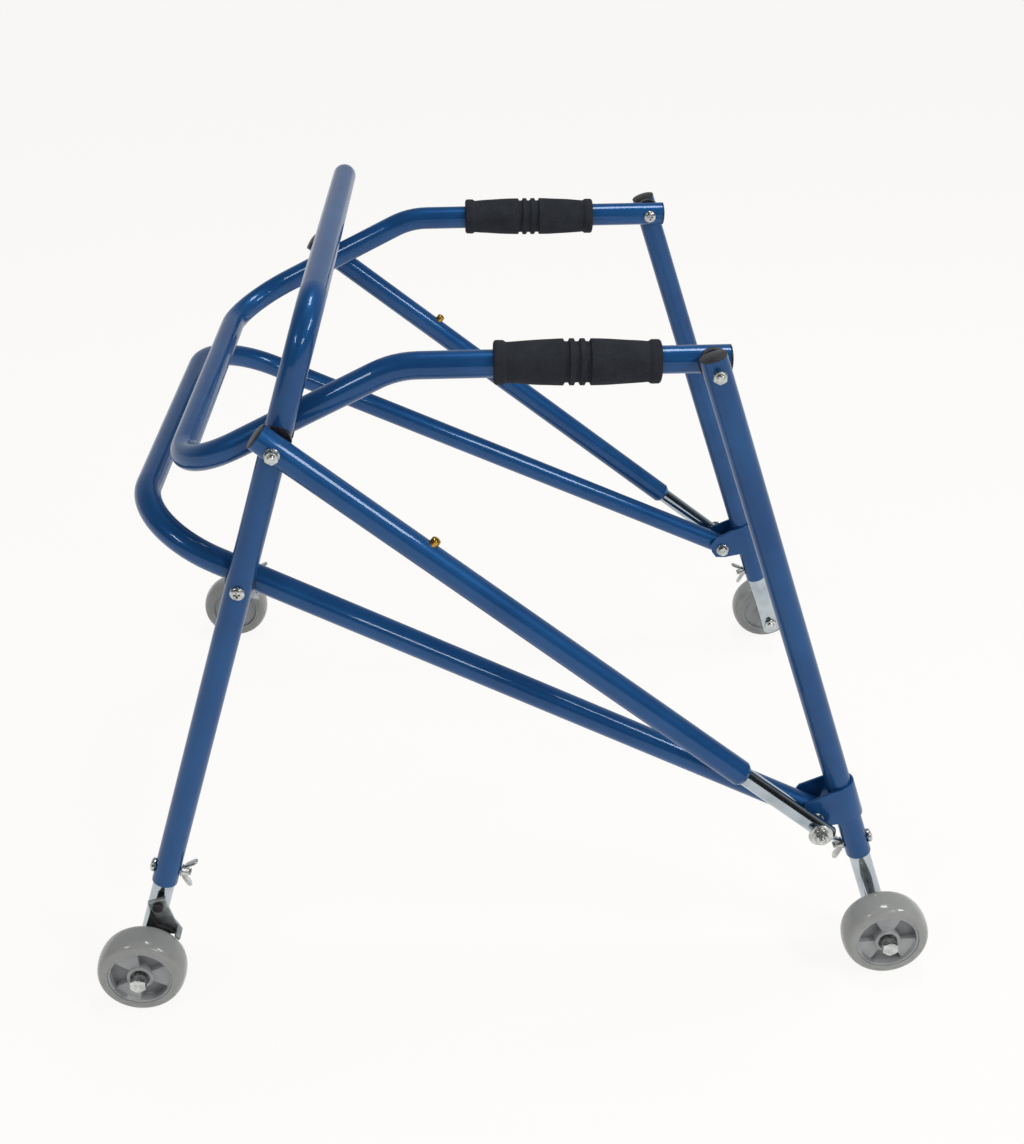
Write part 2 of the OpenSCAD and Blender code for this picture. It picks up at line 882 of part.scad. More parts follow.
module tyre(at)
{
    on_axle(at) rotate_extrude()
        polygon(concat([[recess_r, half_w]], tread(), [[recess_r, -half_w]]));
}

spokes = 3;
spoke_angle = 58;
spoke_turn = 75;
module hub(at)
{
    ring_r = recess_r - ring_t;
    on_axle(at) difference()
    {
        union()
        {
            difference()
            {
                translate([0, 0, -half_w]) cylinder(h = wheel_w, r = recess_r);
                translate([0, 0, half_w - pocket_depth]) cylinder(h = wheel_w, r = ring_r);
                translate([0, 0, -half_w - wheel_w + spoke_depth]) cylinder(h = wheel_w, r = ring_r);
            }
            for (k = [0:spokes - 1]) rotate(k * 360 / spokes + spoke_turn)
                translate([0, 0, half_w - pocket_depth - over / 2]) rotate_extrude(angle = spoke_angle)
                square([ring_r + over / 4, pocket_depth + over / 2 - spoke_depth]);
            translate([0, 0, -half_w - boss_in]) cylinder(h = wheel_w + boss_in, r = boss_r);
        }
        translate([0, 0, half_w - counter_depth]) cylinder(h = wheel_w, r = counter_r);
        translate([0, 0, -wheel_w]) cylinder(h = 2 * wheel_w, d = axle_d + 2 * run);
    }
}

// Pawl's frame: origin on the pin, x forward, z up, y outward
pawl_o = WR + rear_up * pawl_rise;
module pawl_at()
{
    translate([pawl_o[0], WR[1], pawl_o[2]]) children();
}

pawl_in = ext_d / 2 + face_gap * 2;
bite_out = wheel_out - half_w + bite_past;
bite_angle = 33;
bite_centre = [WR[0] - pawl_o[0], WR[2] - pawl_o[2]];
bite_r = tread_r(half_w - bite_past) + bite_gap;
tab_share = 0.4;
bite_sweep = bite_w * tab_share / bite_r * 180 / PI;
function on_tread(r, a) = bite_centre + r * [cos(a), sin(a)];
// Outlines as shares of the plate's width
pawl_crown = bite_w * [-0.64, 0.38];
pawl_brow = bite_w * [0.53, 0.72];
fore_shares = [[0.57, 0.08], [0.72, -0.36], [0.94, -1.15]];
aft_shares = [[0.46, -1.92], [-0.7, -1.46], [-0.58, -0.3]];
pad_shares = [[-0.51, -0.28], [-0.13, -1.37], [0.61, -1.65], [1.12, -2.14], [0.46, -2.08], [-1.03, -1.77]];

module pawl()
{
    ends = [bite_angle, bite_angle + bite_sweep];
    tab = [for (a = ends) for (r = [bite_r, bite_r + pawl_t]) on_tread(r, a)];
    difference()
    {
        pawl_at()
        {
            translate([0, pawl_in + pawl_t, 0]) rotate([90, 0, 0]) linear_extrude(pawl_t)
                polygon(concat([pawl_crown, pawl_brow], bite_w * fore_shares,
                    [tab[1], tab[0]], bite_w * aft_shares));
            translate([0, bite_out, 0]) rotate([90, 0, 0]) linear_extrude(bite_out - pawl_in)
                polygon([tab[0], tab[1], tab[3], tab[2]]);
            translate([0, pawl_in + flange, 0]) rotate([90, 0, 0]) linear_extrude(flange)
                polygon([pawl_crown, pawl_brow, pawl_brow - [0, pawl_t], pawl_crown - [0, pawl_t]]);
        }
        pawl_at() rotate([90, 0, 0]) cylinder(h = 4 * wheel_out, d = pawl_pin_d + 2 * run, center = true);
    }
}

module pawl_pad()
{
    pawl_at() translate([0, pawl_in + pawl_t + pad_t, 0]) rotate([90, 0, 0]) linear_extrude(pad_t)
        polygon(bite_w * pad_shares);
}

module pawl_pin()
{
    face = pawl_in + pawl_t + face_gap;
    difference()
    {
        pawl_at() rotate([-90, 0, 0])
        {
            cylinder(h = face, d = pawl_pin_d);
            translate([0, 0, face]) cylinder(h = pawl_cap_t, d = pawl_cap_d);
        }
        ext_solid(WR, rear_up);
    }
}

// Left and right sub-parts
module front_leg_left() { color(paint) front_leg(); }
module front_leg_right() { mirror([0, 1, 0]) front_leg_left(); }
module front_plug_left() { color(black) front_plug(); }
module front_plug_right() { mirror([0, 1, 0]) front_plug_left(); }
module bracket_left() { color(paint) bracket(); }
module bracket_right() { mirror([0, 1, 0]) bracket_left(); }
module brace_bolt_left() { color(zinc) brace_bolt(); }
module brace_bolt_right() { mirror([0, 1, 0]) brace_bolt_left(); }
module front_clamp_bolt_left() { color(zinc) clamp_bolt(front_end, front_up, -90); }
module front_clamp_bolt_right() { mirror([0, 1, 0]) front_clamp_bolt_left(); }
module wing_rear_left() { color(zinc) wing_nut(rear_end, rear_up, 90); }
module wing_rear_right() { mirror([0, 1, 0]) wing_rear_left(); }
module wing_front_left() { color(zinc) wing_nut(front_end, front_up, -90); }
module wing_front_right() { mirror([0, 1, 0]) wing_front_left(); }
module brace_outer_left() { color(paint) brace_outer(); }
module brace_outer_right() { mirror([0, 1, 0]) brace_outer_left(); }
module brace_plug_left() { color(black) brace_plug(); }
module brace_plug_right() { mirror([0, 1, 0]) brace_plug_left(); }
module brace_inner_left() { color(plate) brace_inner(); }
module brace_inner_right() { mirror([0, 1, 0]) brace_inner_left(); }
module button_left() { color(brass) button(); }
module button_right() { mirror([0, 1, 0]) button_left(); }
module ext_rear_left() { color(plate) ext(WR, rear_up); }
module ext_rear_right() { mirror([0, 1, 0]) ext_rear_left(); }
module ext_front_left() { color(plate) ext(WF, front_up); }
module ext_front_right() { mirror([0, 1, 0]) ext_front_left(); }
module axle_rear_left() { color(zinc) axle(WR, rear_up); }
module axle_rear_right() { mirror([0, 1, 0]) axle_rear_left(); }
module axle_front_left() { color(zinc) axle(WF, front_up); }
module axle_front_right() { mirror([0, 1, 0]) axle_front_left(); }
module tyre_rear_left() { color(grey) tyre(WR); }
module tyre_rear_right() { mirror([0, 1, 0]) tyre_rear_left(); }
module tyre_front_left() { color(grey) tyre(WF); }
module tyre_front_right() { mirror([0, 1, 0]) tyre_front_left(); }
module hub_rear_left() { color(grey) hub(WR); }
module hub_rear_right() { mirror([0, 1, 0]) hub_rear_left(); }
module hub_front_left() { color(grey) hub(WF); }
module hub_front_right() { mirror([0, 1, 0]) hub_front_left(); }
module pawl_left() { color(plate) pawl(); }
module pawl_right() { mirror([0, 1, 0]) pawl_left(); }
module pawl_pad_left() { color(black) pawl_pad(); }
module pawl_pad_right() { mirror([0, 1, 0]) pawl_pad_left(); }
module pawl_pin_left() { color(black) pawl_pin(); }
module pawl_pin_right() { mirror([0, 1, 0]) pawl_pin_left(); }

rear_frame();
rear_upper_bolts();
rear_lower_bolts();
rear_spacers();
rear_clamp_bolts();
handle_bar();
grip_left();
grip_right();
handle_plugs();
handle_bolts();
handle_spacers();
lower_bar();
lower_bar_pins();
front_leg_left();
front_leg_right();
front_plug_left();
front_plug_right();
bracket_left();
bracket_right();
brace_bolt_left();
brace_bolt_right();
front_clamp_bolt_left();
front_clamp_bolt_right();
wing_rear_left();
wing_rear_right();
wing_front_left();
wing_front_right();
brace_outer_left();
brace_outer_right();
brace_plug_left();
brace_plug_right();
brace_inner_left();
brace_inner_right();
button_left();
button_right();
ext_rear_left();
ext_rear_right();
ext_front_left();
ext_front_right();
axle_rear_left();
axle_rear_right();
axle_front_left();
axle_front_right();
tyre_rear_left();
tyre_rear_right();
tyre_front_left();
tyre_front_right();
hub_rear_left();
hub_rear_right();
hub_front_left();
hub_front_right();
pawl_left();
pawl_right();
pawl_pad_left();
pawl_pad_right();
pawl_pin_left();
pawl_pin_right();
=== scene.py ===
import bpy
import bmesh
import json
import math
from mathutils import Matrix, Vector, noise

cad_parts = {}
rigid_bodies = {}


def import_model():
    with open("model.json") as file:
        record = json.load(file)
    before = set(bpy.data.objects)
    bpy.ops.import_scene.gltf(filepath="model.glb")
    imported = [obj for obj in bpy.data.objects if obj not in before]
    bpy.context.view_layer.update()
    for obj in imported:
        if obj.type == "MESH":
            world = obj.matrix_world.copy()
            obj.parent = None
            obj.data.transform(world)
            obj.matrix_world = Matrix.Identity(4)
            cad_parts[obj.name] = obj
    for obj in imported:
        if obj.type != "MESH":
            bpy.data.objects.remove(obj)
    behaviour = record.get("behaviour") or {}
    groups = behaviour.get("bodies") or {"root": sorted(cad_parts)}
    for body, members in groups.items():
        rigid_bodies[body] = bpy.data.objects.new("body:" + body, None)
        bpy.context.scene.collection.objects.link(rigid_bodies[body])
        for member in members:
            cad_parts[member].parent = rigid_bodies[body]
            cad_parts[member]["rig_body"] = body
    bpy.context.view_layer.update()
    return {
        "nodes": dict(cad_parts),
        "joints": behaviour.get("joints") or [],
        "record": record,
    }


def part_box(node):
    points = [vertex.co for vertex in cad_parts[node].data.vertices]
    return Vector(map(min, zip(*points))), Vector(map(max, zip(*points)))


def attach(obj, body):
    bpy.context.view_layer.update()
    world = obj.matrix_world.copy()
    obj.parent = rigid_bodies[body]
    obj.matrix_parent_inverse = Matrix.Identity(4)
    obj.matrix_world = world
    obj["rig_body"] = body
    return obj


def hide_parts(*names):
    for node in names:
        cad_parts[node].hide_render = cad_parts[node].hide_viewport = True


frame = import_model()
nodes = frame["nodes"]
joints = {j["name"]: j for j in frame["joints"]}
slotOf = {part["node"]: part["material_slot"] for part in frame["record"]["subparts"]}
scene = bpy.context.scene
signs = {"left": 1, "right": -1}  # which way each side lies along y
feet = [end + "_" + side for end in ("rear", "front") for side in signs]


def linear(hexColour):  # sRGB hex to the linear RGBA that the sockets take
    rgb = [int(hexColour[i:i + 2], 16) / 255 for i in (1, 3, 5)]
    return [c / 12.92 if c <= 0.04045 else ((c + 0.055) / 1.055) ** 2.4 for c in rgb] + [1.0]


def put(tree, kind, props=None, values=None, links=None):  # one node with its settings and its links
    node = tree.nodes.new(kind)
    for name, value in (props or {}).items():
        setattr(node, name, value)
    for name, value in (values or {}).items():
        node.inputs[name].default_value = value
    for name, source in (links or {}).items():
        tree.links.new(source, node.inputs[name])
    return node


def clamped(value):  # kept between 0 and 1
    return min(max(value, 0), 1)


def newObject(name, data):
    made = bpy.data.objects.new(name, data)
    scene.collection.objects.link(made)
    return made


# camera, solved from the photograph's pivots, axles and tube outlines
cameraFit = {
    "place": (-0.0428, -1.2747, 0.9710),
    "turnDeg": (63.956, 0.063, -1.761),
    "image": (1024, 1144),
    "focalPx": 1468.92,
    "centrePx": (503.23, 484.64),
    "sensorMm": 36,
    "clipStart": 0.05,
}


def makeCamera(fit):
    data = bpy.data.cameras.new("camera")
    data.sensor_fit = "VERTICAL"
    data.sensor_height = fit["sensorMm"]
    wide, tall = fit["image"]
    data.lens = fit["focalPx"] / tall * fit["sensorMm"]
    data.shift_x = (wide / 2 - fit["centrePx"][0]) / tall
    data.shift_y = (fit["centrePx"][1] - tall / 2) / tall
    data.clip_start = fit["clipStart"]
    camera = newObject("camera", data)
    camera.location = fit["place"]
    camera.rotation_euler = [math.radians(a) for a in fit["turnDeg"]]
    scene.camera = camera


makeCamera(cameraFit)
print("camera set")

# studio: white floor for the eye and for reflections, a room that darkens overhead, lamps for the streaks
studio = {
    "floorColour": "#FCFBF9",
    "floorGlow": 1.04,
    "backdropGlow": 0.97,
    "floorSize": 40.0,
    "shadowShare": 0.10,  # how much of the real floor shading the camera sees
    "roomBack": "#C4C8CC",
    "roomFront": "#2C2D2C",
    "frontToBack": (-0.25, 0.75),  # y on the sky's sphere where the lighter back starts and where it is full
    "roomCeiling": "#3C3D3E",
    "ceilingRise": (0.30, 0.85),  # z on the sky's sphere where the ceiling starts and where it is full
    "skyColour": "#F4F6FA",
    "skyStrength": 0.26,
    "lampHeight": 2.4,
    "lamps": {  # x and y of each ceiling lamp, its size in x and y, and its watts
        "key": ((2.22, -1.40), (0.76, 1.20), 46.0),
        "rear": ((-2.00, -2.05), (0.50, 0.90), 22.0),
        "middle": ((0.28, 0.19), (0.50, 0.60), 15.0),
        "near": ((1.53, -3.84), (0.66, 1.30), 40.0),
    },
}


def makeWorld(look):  # paper for the camera, a room for reflections, an even sky for the rest
    world = bpy.data.worlds.new("softSky")
    world.use_nodes = True
    scene.world = world
    tree = world.node_tree
    tree.nodes.clear()
    path = put(tree, "ShaderNodeLightPath").outputs
    where = put(tree, "ShaderNodeTexCoord").outputs["Generated"]
    axes = put(tree, "ShaderNodeSeparateXYZ", links={0: where}).outputs
    share = {}
    for axis, span in (("Y", "frontToBack"), ("Z", "ceilingRise")):
        low, high = look[span]
        share[axis] = put(tree, "ShaderNodeMapRange", values={"From Min": low, "From Max": high},
                          links={"Value": axes[axis]}).outputs[0]
    side = put(tree, "ShaderNodeMix", {"data_type": "RGBA"},  # sockets 6 and 7 are the two colours
               {6: linear(look["roomFront"]), 7: linear(look["roomBack"])}, {"Factor": share["Y"]})
    room = put(tree, "ShaderNodeMix", {"data_type": "RGBA"}, {7: linear(look["roomCeiling"])},
               {"Factor": share["Z"], 6: side.outputs[2]})
    sky = put(tree, "ShaderNodeBackground",
              values={"Color": linear(look["skyColour"]), "Strength": look["skyStrength"]})
    walls = put(tree, "ShaderNodeBackground", links={"Color": room.outputs[2]})
    paper = put(tree, "ShaderNodeBackground",
                values={"Color": linear(look["floorColour"]), "Strength": look["backdropGlow"]})
    seen = put(tree, "ShaderNodeMath", {"operation": "MAXIMUM"},
               links={0: path["Is Glossy Ray"], 1: path["Is Transmission Ray"]})
    both = put(tree, "ShaderNodeMixShader", links={0: seen.outputs[0], 1: sky.outputs[0], 2: walls.outputs[0]})
    both = put(tree, "ShaderNodeMixShader",
               links={0: path["Is Camera Ray"], 1: both.outputs[0], 2: paper.outputs[0]})
    put(tree, "ShaderNodeOutputWorld", links={"Surface": both.outputs[0]})


def makeFloor(look):  # glows for the camera and for reflections, and shades a little under the walker
    half = look["floorSize"] / 2
    mesh = bpy.data.meshes.new("floor")
    corners = [(-half, -half, 0), (half, -half, 0), (half, half, 0), (-half, half, 0)]
    mesh.from_pydata(corners, [], [(0, 1, 2, 3)])
    floor = newObject("floor", mesh)
    paper = bpy.data.materials.new("paleStudioPaper")
    paper.use_nodes = True
    tree = paper.node_tree
    tree.nodes.clear()
    path = put(tree, "ShaderNodeLightPath").outputs
    seen = put(tree, "ShaderNodeMath", {"operation": "MAXIMUM"},
               links={0: path["Is Camera Ray"], 1: path["Is Glossy Ray"]})
    seen = put(tree, "ShaderNodeMath", {"operation": "MAXIMUM"},
               links={0: seen.outputs[0], 1: path["Is Transmission Ray"]})
    share = put(tree, "ShaderNodeMath", {"operation": "MULTIPLY"}, {1: 1 - look["shadowShare"]},
                {0: seen.outputs[0]})
    matt = put(tree, "ShaderNodeBsdfDiffuse", values={"Color": linear(look["floorColour"])})
    glow = put(tree, "ShaderNodeEmission",
               values={"Color": linear(look["floorColour"]), "Strength": look["floorGlow"]})
    both = put(tree, "ShaderNodeMixShader", links={0: share.outputs[0], 1: matt.outputs[0], 2: glow.outputs[0]})
    put(tree, "ShaderNodeOutputMaterial", links={"Surface": both.outputs[0]})
    mesh.materials.append(paper)


def hangLamps(look):
    for name, (place, size, watts) in look["lamps"].items():
        data = bpy.data.lights.new(name + "Lamp", "AREA")
        data.shape = "RECTANGLE"
        data.size, data.size_y = size
        data.energy = watts
        newObject(name + "Lamp", data).location = (*place, look["lampHeight"])


makeWorld(studio)
makeFloor(studio)
hangLamps(studio)
scene.view_settings.view_transform = "Standard"
print("studio set")


def newMaterial(name, values):  # principled material with its steady values, and Object coordinates
    material = bpy.data.materials.new(name)
    material.use_nodes = True
    tree = material.node_tree
    tree.nodes.clear()
    shader = put(tree, "ShaderNodeBsdfPrincipled", values=values)
    put(tree, "ShaderNodeOutputMaterial", links={"Surface": shader.outputs[0]})
    where = put(tree, "ShaderNodeTexCoord").outputs["Object"]
    return material, tree, shader, where


# powder-coated steel: deep blue with a broad metallic sheen under a clear gloss, faint orange peel
paintLook = {
    "light": "#22588F", "deep": "#1B4A7F", "toneSpan": (0.45, 0.90), "cloudMm": 60,
    "flakeMm": 0.5, "flakeShare": 0.35,  # flakes drawn coarser than real ones, so that they show
    "metallic": 0.30, "rough": 0.40, "ior": 1.5, "specular": 0.05, "coat": 0.54, "coatRough": 0.04,
    "peelMm": 2.4, "peelDeepMm": 0.1, "bump": 0.02,
}


def powderCoat(look):
    material, tree, shader, where = newMaterial("powderCoatedSteel", {
        "Metallic": look["metallic"], "Roughness": look["rough"], "IOR": look["ior"],
        "Specular IOR Level": look["specular"], "Coat Weight": look["coat"], "Coat Roughness": look["coatRough"]})
    cloud = put(tree, "ShaderNodeTexNoise", values={"Scale": 1000 / look["cloudMm"], "Detail": 3},
                links={"Vector": where})
    flake = put(tree, "ShaderNodeTexNoise", values={"Scale": 1000 / look["flakeMm"], "Detail": 1},
                links={"Vector": where})
    mixed = put(tree, "ShaderNodeMath", {"operation": "MULTIPLY_ADD"}, {1: look["flakeShare"]},
                {0: flake.outputs[0], 2: cloud.outputs[0]})
    tone = put(tree, "ShaderNodeValToRGB", links={0: mixed.outputs[0]})
    for stop, place, shade in zip(tone.color_ramp.elements, look["toneSpan"], ("deep", "light")):
        stop.position, stop.color = place, linear(look[shade])
    tree.links.new(tone.outputs[0], shader.inputs["Base Color"])
    peel = put(tree, "ShaderNodeTexNoise", values={"Scale": 1000 / look["peelMm"], "Detail": 1},
               links={"Vector": where})
    bump = put(tree, "ShaderNodeBump", values={"Strength": look["bump"], "Distance": look["peelDeepMm"] / 1000},
               links={"Height": peel.outputs[0]})
    tree.links.new(bump.outputs[0], shader.inputs["Normal"])
    tree.links.new(bump.outputs[0], shader.inputs["Coat Normal"])
    return material


# plated or bare metal: base colour drifts a little, roughness breaks up in fine marks
metalLooks = {
    "shared": {"toneSpan": (0.30, 0.65), "markSpan": (0.3, 0.7), "markDeepMm": 0.1, "bump": 0.06},
    "chromePlate": {"light": "#B9C2C8", "deep": "#9EA8AF", "cloudMm": 25, "markMm": 3, "rough": (0.06, 0.16)},
    "zincPlatedSteel": {"light": "#D6D8D6", "deep": "#A9ABA8", "cloudMm": 5, "markMm": 0.8, "rough": (0.20, 0.38)},
    "galvanisedSheet": {"light": "#C3C7C8", "deep": "#959A9C", "cloudMm": 7, "markMm": 1.2, "rough": (0.50, 0.68)},
    "turnedBrass": {"light": "#CFA250", "deep": "#9C7230", "cloudMm": 4, "markMm": 0.6, "rough": (0.18, 0.34)},
}


def platedMetal(name, look):
    material, tree, shader, where = newMaterial(name, {"Metallic": 1.0})
    cloud = put(tree, "ShaderNodeTexNoise", values={"Scale": 1000 / look["cloudMm"], "Detail": 3},
                links={"Vector": where})
    tone = put(tree, "ShaderNodeValToRGB", links={0: cloud.outputs[0]})
    for stop, place, shade in zip(tone.color_ramp.elements, look["toneSpan"], ("deep", "light")):
        stop.position, stop.color = place, linear(look[shade])
    tree.links.new(tone.outputs[0], shader.inputs["Base Color"])
    marks = put(tree, "ShaderNodeTexNoise", values={"Scale": 1000 / look["markMm"], "Detail": 4},
                links={"Vector": where})
    (low, high), (shiny, dull) = look["markSpan"], look["rough"]
    worn = put(tree, "ShaderNodeMapRange", links={"Value": marks.outputs[0]},
               values={"From Min": low, "From Max": high, "To Min": shiny, "To Max": dull})
    tree.links.new(worn.outputs[0], shader.inputs["Roughness"])
    bump = put(tree, "ShaderNodeBump", values={"Strength": look["bump"], "Distance": look["markDeepMm"] / 1000},
               links={"Height": marks.outputs[0]})
    tree.links.new(bump.outputs[0], shader.inputs["Normal"])
    return material


# moulded plastics and rubber: even colour with faint flow clouds and a fine mould texture; the hub has painted
# shade in its pockets
plasticLooks = {  # the mould's grain is drawn coarser than a real one, so that it shows
    "shared": {"toneSpan": (0.35, 0.65), "grainDeepMm": 0.2},
    "mouldedPolyethylene": {"light": "#2A2A2C", "deep": "#18181A", "cloudMm": 8, "grainMm": 0.5,
                            "rough": 0.42, "ior": 1.51, "bump": 0.10},
    "nitrileRubber": {"light": "#262628", "deep": "#151516", "cloudMm": 6, "grainMm": 0.4,
                      "rough": 0.62, "ior": 1.52, "bump": 0.15},
    "polyurethaneTread": {"light": "#A2A3A0", "deep": "#9C9D9A", "cloudMm": 30, "grainMm": 1.0,
                          "rough": 0.16, "ior": 1.50, "bump": 0.01, "glow": 0.4, "glowMm": 7},
    # the hub's pocket colour is painted shade, darkest on the pockets' floors
    "polypropyleneHub": {"light": "#AAACAC", "deep": "#A0A2A3", "cloudMm": 20, "grainMm": 0.8,
                         "rough": 0.30, "ior": 1.49, "bump": 0.04, "pocketShade": "#86888A"},
}


def mouldedPlastic(name, look):
    material, tree, shader, where = newMaterial(name, {"Roughness": look["rough"], "IOR": look["ior"]})
    cloud = put(tree, "ShaderNodeTexNoise", values={"Scale": 1000 / look["cloudMm"], "Detail": 2},
                links={"Vector": where})
    tone = put(tree, "ShaderNodeValToRGB", links={0: cloud.outputs[0]})
    for stop, place, shade in zip(tone.color_ramp.elements, look["toneSpan"], ("deep", "light")):
        stop.position, stop.color = place, linear(look[shade])
    colour = tone.outputs[0]
    if "glow" in look:  # light that travels through the translucent rubber
        shader.inputs["Subsurface Weight"].default_value = look["glow"]
        shader.inputs["Subsurface Radius"].default_value = (1, 1, 1)
        shader.inputs["Subsurface Scale"].default_value = look["glowMm"] / 1000
    if "pocketShade" in look:  # painted shade: the hub's colour darkens with depth in its pockets
        depth = put(tree, "ShaderNodeAttribute", {"attribute_name": "pocketDepth"})
        paintedShade = put(tree, "ShaderNodeMix", {"data_type": "RGBA"}, {7: linear(look["pocketShade"])},
                    {"Factor": depth.outputs["Fac"], 6: colour})
        colour = paintedShade.outputs[2]
    tree.links.new(colour, shader.inputs["Base Color"])
    grain = put(tree, "ShaderNodeTexNoise", values={"Scale": 1000 / look["grainMm"], "Detail": 2},
                links={"Vector": where})
    bump = put(tree, "ShaderNodeBump", values={"Strength": look["bump"], "Distance": look["grainDeepMm"] / 1000},
               links={"Height": grain.outputs[0]})
    tree.links.new(bump.outputs[0], shader.inputs["Normal"])
    return material


# EVA foam: closed cells that catch light as fine pores, no gloss
foamLook = {
    "light": "#2F3239", "deep": "#212429", "toneSpan": (0.45, 1.0), "skinMm": 16,
    "poreMm": 1.1, "poreShare": 0.5, "poreDeepMm": 0.3,  # pores drawn coarser than real ones, so that they show
    "bump": 0.5, "rough": 0.92, "ior": 1.48, "specular": 0.3,
}


def evaFoam(look):
    material, tree, shader, where = newMaterial("closedCellFoam", {
        "Roughness": look["rough"], "IOR": look["ior"], "Specular IOR Level": look["specular"]})
    pores = put(tree, "ShaderNodeTexVoronoi", values={"Scale": 1000 / look["poreMm"]}, links={"Vector": where})
    skin = put(tree, "ShaderNodeTexNoise", values={"Scale": 1000 / look["skinMm"], "Detail": 4},
               links={"Vector": where})
    mixed = put(tree, "ShaderNodeMath", {"operation": "MULTIPLY_ADD"}, {1: look["poreShare"]},
                {0: pores.outputs["Distance"], 2: skin.outputs[0]})
    tone = put(tree, "ShaderNodeValToRGB", links={0: mixed.outputs[0]})
    for stop, place, shade in zip(tone.color_ramp.elements, look["toneSpan"], ("deep", "light")):
        stop.position, stop.color = place, linear(look[shade])
    tree.links.new(tone.outputs[0], shader.inputs["Base Color"])
    bump = put(tree, "ShaderNodeBump", values={"Strength": look["bump"], "Distance": look["poreDeepMm"] / 1000},
               links={"Height": pores.outputs["Distance"]})
    tree.links.new(bump.outputs[0], shader.inputs["Normal"])
    return material


finishes = {"blue_paint": powderCoat(paintLook), "black_foam": evaFoam(foamLook)}
for slotName, name in (("chrome", "chromePlate"), ("zinc_plate", "zincPlatedSteel"),
                       ("galvanised", "galvanisedSheet"), ("brass", "turnedBrass")):
    finishes[slotName] = platedMetal(name, {**metalLooks["shared"], **metalLooks[name]})
for slotName, name in (("black_plastic", "mouldedPolyethylene"), ("black_rubber", "nitrileRubber"),
                       ("grey_tread", "polyurethaneTread"), ("grey_hub", "polypropyleneHub")):
    finishes[slotName] = mouldedPlastic(name, {**plasticLooks["shared"], **plasticLooks[name]})
for node, slotName in slotOf.items():
    for holder in nodes[node].material_slots:
        holder.material = finishes[slotName]
print("finishes set:", len(finishes))


def along(start, facing):  # placement with its z along facing
    return Matrix.Translation(start) @ Vector(facing).to_track_quat("Z", "Y").to_matrix().to_4x4()


def faceOut(shape):  # a moved shape keeps its old normals, so they are renewed first
    shape.normal_update()
    bmesh.ops.recalc_face_normals(shape, faces=shape.faces)


def spun(steps, outlineAt):  # a closed (radius, height) outline in millimetres for each step round z
    shape = bmesh.new()
    rings = []
    for k in range(steps):
        turn = 2 * math.pi * k / steps
        rings.append([shape.verts.new((r / 1000 * math.cos(turn), r / 1000 * math.sin(turn), z / 1000))
                      for r, z in outlineAt(k)])
    for k in range(steps):
        a, b = rings[k], rings[(k + 1) % steps]
        for i in range(len(a)):
            j = (i + 1) % len(a)
            shape.faces.new((a[i], b[i], b[j], a[j]))
    faceOut(shape)
    return shape


def lathe(outline, steps):  # the same outline all the way round
    shape = spun(steps, lambda k: outline)
    bmesh.ops.remove_doubles(shape, verts=shape.verts, dist=1e-6)
    faceOut(shape)
    return shape


def meshOf(name, shape):
    mesh = bpy.data.meshes.new(name)
    shape.to_mesh(mesh)
    shape.free()
    return mesh


def smooth(mesh, sharpDeg):
    mesh.shade_smooth()
    mesh.set_sharp_from_angle(angle=math.radians(sharpDeg))


def declare(piece, body, replaced):
    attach(piece, body)
    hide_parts(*replaced)


def finishPiece(name, shape, place, body, slotName, replaced, sharpDeg=35):
    shape.transform(place)
    faceOut(shape)
    mesh = meshOf(name, shape)
    smooth(mesh, sharpDeg)
    mesh.materials.append(finishes[slotName])
    piece = newObject(name, mesh)
    declare(piece, body, replaced)
    return piece


def endCentre(node, pick):  # middle of a CAD piece's rear (min) or front (max) end face
    points = [v.co for v in nodes[node].data.vertices]
    edge = pick(p.x for p in points)
    ring = [p for p in points if abs(p.x - edge) < 0.001]  # within a millimetre of the end
    return sum(ring, Vector()) / len(ring)


# foam grips: collar, neck, swell, three grooves between two ribs, soft dents
gripLook = {
    "tubeMm": 22.3, "collarMm": 35, "collarLengthMm": 8.5, "shoulderMm": 2, "easeMm": 3.2,
    "neckMm": 31.6, "middleMm": 37, "swellPower": 0.85,
    "grooveShares": (0.435, 0.498, 0.562), "grooveMm": 2.3, "grooveWidthMm": 3.8,
    "grooveReach": 1.25, "grooveWall": 0.5,  # in half widths: flat-bottomed, with steep walls
    "edgeMm": 2.6, "dentMm": 0.22, "dentScaleMm": 14, "dentShift": {"left": 7, "right": 0},
    "steps": 96, "rows": 260, "sharpDeg": 60,
}


def gripRadius(x, length, look):  # millimetres along the grip to its radius
    collar, edge = look["collarLengthMm"], look["edgeMm"]
    share = clamped((x - collar) / (length - 2 * collar))
    radius = look["neckMm"] / 2
    radius += (look["middleMm"] - look["neckMm"]) / 2 * math.sin(math.pi * share) ** look["swellPower"]
    for g in look["grooveShares"]:
        off = 2 * abs(x - g * length) / look["grooveWidthMm"]
        radius -= look["grooveMm"] * clamped((look["grooveReach"] - off) / look["grooveWall"])
    near = min(x, length - x)
    ease = clamped((collar + look["shoulderMm"] - near) / look["easeMm"])
    radius += (look["collarMm"] / 2 - radius) * ease * ease * (3 - 2 * ease)
    if near < edge:
        radius -= edge - math.sqrt(edge ** 2 - (edge - near) ** 2)
    return radius


